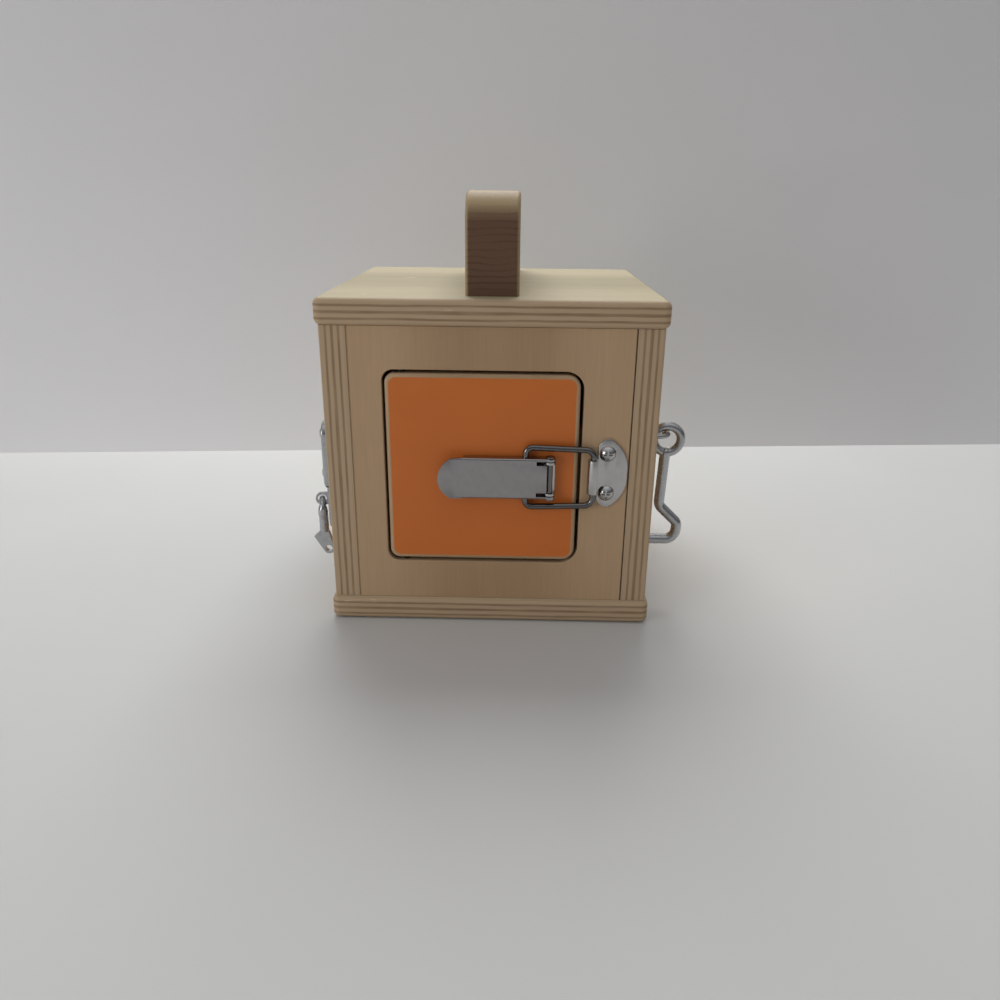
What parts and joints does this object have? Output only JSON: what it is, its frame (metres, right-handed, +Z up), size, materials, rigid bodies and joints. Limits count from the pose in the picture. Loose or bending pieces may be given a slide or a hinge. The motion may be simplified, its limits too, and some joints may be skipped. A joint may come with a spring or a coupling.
{
  "type": "wooden latch box",
  "caption": "Plywood cube with a carrying handle and a hinged painted door on every side, each door with another latch to open.",
  "frame": {"origin": "centre of the underside, on the surface the box stands on", "axes": "-Y is the front with the toggle latch, +X is the side with the hook, +Z is up"},
  "size_m": [0.1529, 0.145, 0.1665],
  "materials": {
    "birch_plywood": "satin",
    "inner_wood": "matt",
    "brown_wood": "satin",
    "orange_painted_wood": "satin",
    "yellow_painted_wood": "satin",
    "green_painted_wood": "satin",
    "blue_painted_wood": "satin",
    "plated_steel": "polished",
    "plated_wire": "satin",
    "cast_hardware": "satin",
    "plain_steel": "satin"
  },
  "bodies": {
    "box": {"top_panel": "birch_plywood", "bottom_panel": "birch_plywood", "front_panel": "birch_plywood", "right_panel": "birch_plywood", "back_panel": "birch_plywood", "left_panel": "birch_plywood", "top_dowels": "inner_wood", "bottom_dowels": "inner_wood", "front_door_stop": "inner_wood", "right_door_stop": "inner_wood", "back_door_stop": "inner_wood", "left_door_stop": "inner_wood", "handle": "brown_wood", "strike_plate": "plated_steel", "strike_screws": "plated_steel", "staple": "plated_steel", "staple_plate": "plated_steel", "staple_plate_screws": "plated_steel", "bolt_keeper": "plated_steel", "bolt_keeper_screws": "plated_steel", "clip_plate_screws": "plated_steel", "hook_eye": "plated_wire", "clip_plate": "cast_hardware", "front_door_pins": "plain_steel", "right_door_pins": "plain_steel", "back_door_pins": "plain_steel", "left_door_pins": "plain_steel", "handle_screws": "plain_steel", "handle_washers": "plain_steel"},
    "front_door": {"front_door": "orange_painted_wood", "toggle_base": "plated_steel", "toggle_base_screws": "plated_steel", "toggle_pin": "plated_steel"},
    "toggle_lever": {"toggle_lever": "plated_steel"},
    "toggle_bail": {"toggle_bail": "plated_steel"},
    "right_door": {"right_door": "yellow_painted_wood", "door_eye": "plated_wire"},
    "hook": {"hook": "cast_hardware"},
    "back_door": {"back_door": "green_painted_wood", "bolt_plate": "plated_steel", "bolt_plate_screws": "plated_steel"},
    "bolt": {"bolt_rod": "plated_steel", "bolt_knob": "plated_steel"},
    "left_door": {"left_door": "blue_painted_wood", "hasp_fixed_leaf": "plated_steel", "hasp_leaf_screws": "plated_steel", "hasp_pin": "plated_steel"},
    "hasp_leaf": {"hasp_leaf": "plated_steel"},
    "clip": {"clip_body": "cast_hardware", "clip_gate_pin": "plated_wire"},
    "clip_gate": {"clip_gate": "cast_hardware"},
    "clip_eye": {"clip_eye": "cast_hardware"}
  },
  "joints": [
    {"name": "front_door_hinge", "type": "hinge", "parent": "box", "child": "front_door", "pos_m": [-0.03405, -0.0601, 0.0651], "axis": [0, 0, -1], "range_deg": [0, 105]},
    {"name": "toggle_lever_hinge", "type": "hinge", "parent": "front_door", "child": "toggle_lever", "pos_m": [0.0228, -0.0668, 0.0634], "axis": [0, 0, 1], "range_deg": [0, 115]},
    {"name": "toggle_bail_hinge", "type": "hinge", "parent": "toggle_lever", "child": "toggle_bail", "pos_m": [0.0134, -0.0659, 0.0634], "axis": [0, 0, 1], "range_deg": [-167, 0]},
    {"name": "right_door_hinge", "type": "hinge", "parent": "box", "child": "right_door", "pos_m": [0.0601, 0.03405, 0.0651], "axis": [0, 0, 1], "range_deg": [0, 105]},
    {"name": "hook_swing", "type": "hinge", "parent": "box", "child": "hook", "pos_m": [0.07116, -0.0425, 0.075], "axis": [0, -1, 0], "range_deg": [0, 100]},
    {"name": "back_door_hinge", "type": "hinge", "parent": "box", "child": "back_door", "pos_m": [0.03405, 0.0601, 0.0651], "axis": [0, 0, -1], "range_deg": [0, 105]},
    {"name": "bolt_slide", "type": "slide", "parent": "back_door", "child": "bolt", "axis": [-1, 0, 0], "range_m": [0, 0.01]},
    {"name": "left_door_hinge", "type": "hinge", "parent": "box", "child": "left_door", "pos_m": [-0.0601, 0.03405, 0.0651], "axis": [0, 0, -1], "range_deg": [0, 105]},
    {"name": "hasp_hinge", "type": "hinge", "parent": "left_door", "child": "hasp_leaf", "pos_m": [-0.0659, -0.025, 0.0682], "axis": [0, 0, -1], "range_deg": [0, 150]},
    {"name": "clip_swing", "type": "hinge", "parent": "box", "child": "clip", "pos_m": [-0.0686, -0.0542, 0.04875], "axis": [-0.2079, 0.9781, 0], "range_deg": [0, 90]},
    {"name": "clip_gate_hinge", "type": "hinge", "parent": "clip", "child": "clip_gate", "pos_m": [-0.06889, -0.05283, 0.04152], "axis": [0.9781, 0.2079, 0], "range_deg": [0, 22], "stiffness_Nm_per_rad": 0.001, "springref_deg": -17.19},
    {"name": "clip_eye_swivel", "type": "hinge", "parent": "clip", "child": "clip_eye", "pos_m": [-0.0686, -0.0542, 0.035], "axis": [0, 0, 1], "continuous": true}
  ],
  "couplings": [
    {"joint": "toggle_bail_hinge", "follows": "toggle_lever_hinge", "ratio": -1.45}
  ]
}
